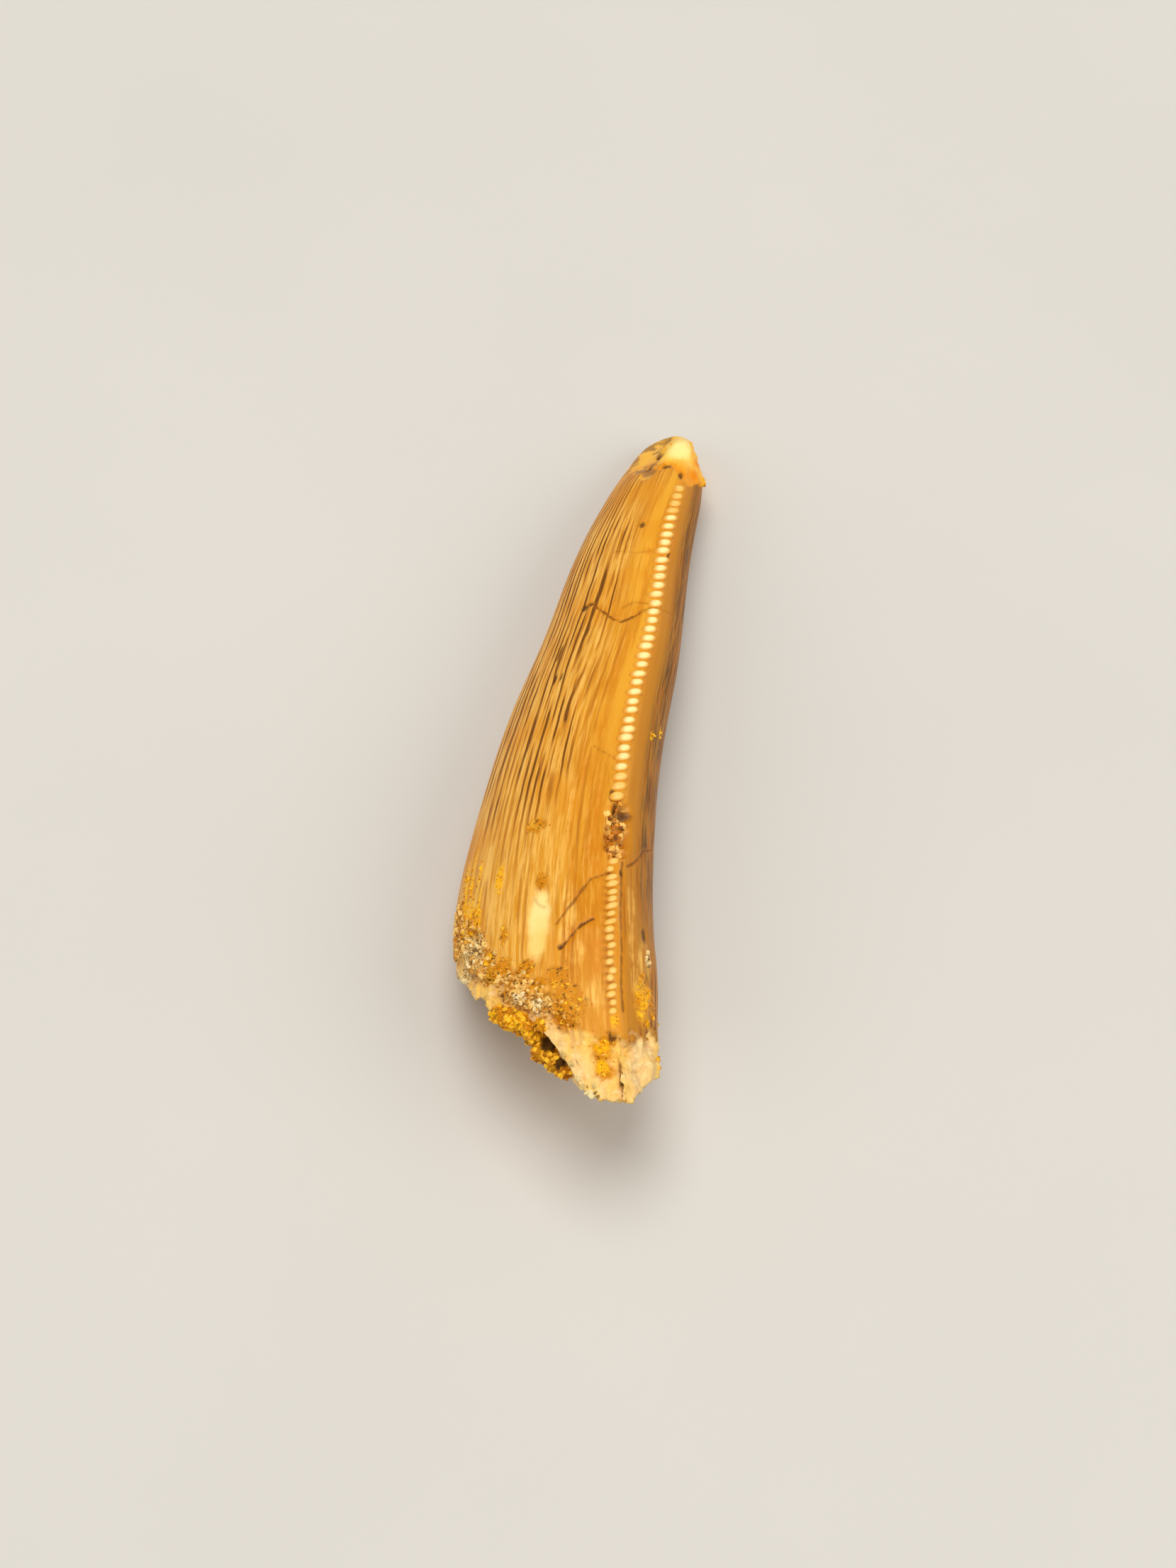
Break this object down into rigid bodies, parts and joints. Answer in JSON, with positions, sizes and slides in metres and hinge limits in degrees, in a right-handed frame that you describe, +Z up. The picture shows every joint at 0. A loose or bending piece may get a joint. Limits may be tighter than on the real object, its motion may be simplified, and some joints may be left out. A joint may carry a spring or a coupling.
{
  "type": "fossil tooth",
  "caption": "Curved fossil dinosaur tooth lying on its flank, with a saw-toothed rear edge, a worn tip and a broken root that holds ochre sediment.",
  "frame": {"origin": "on the resting surface, below the middle of the bounding box", "axes": "+Y along the tooth towards its tip, +Z up, +X to the side of the saw-toothed edge"},
  "size_m": [0.0103, 0.0386, 0.0085],
  "materials": {
    "enamel": "satin",
    "sediment": "matte"
  },
  "bodies": {
    "root": {"tooth": "enamel", "sediment": "sediment"}
  },
  "joints": []
}
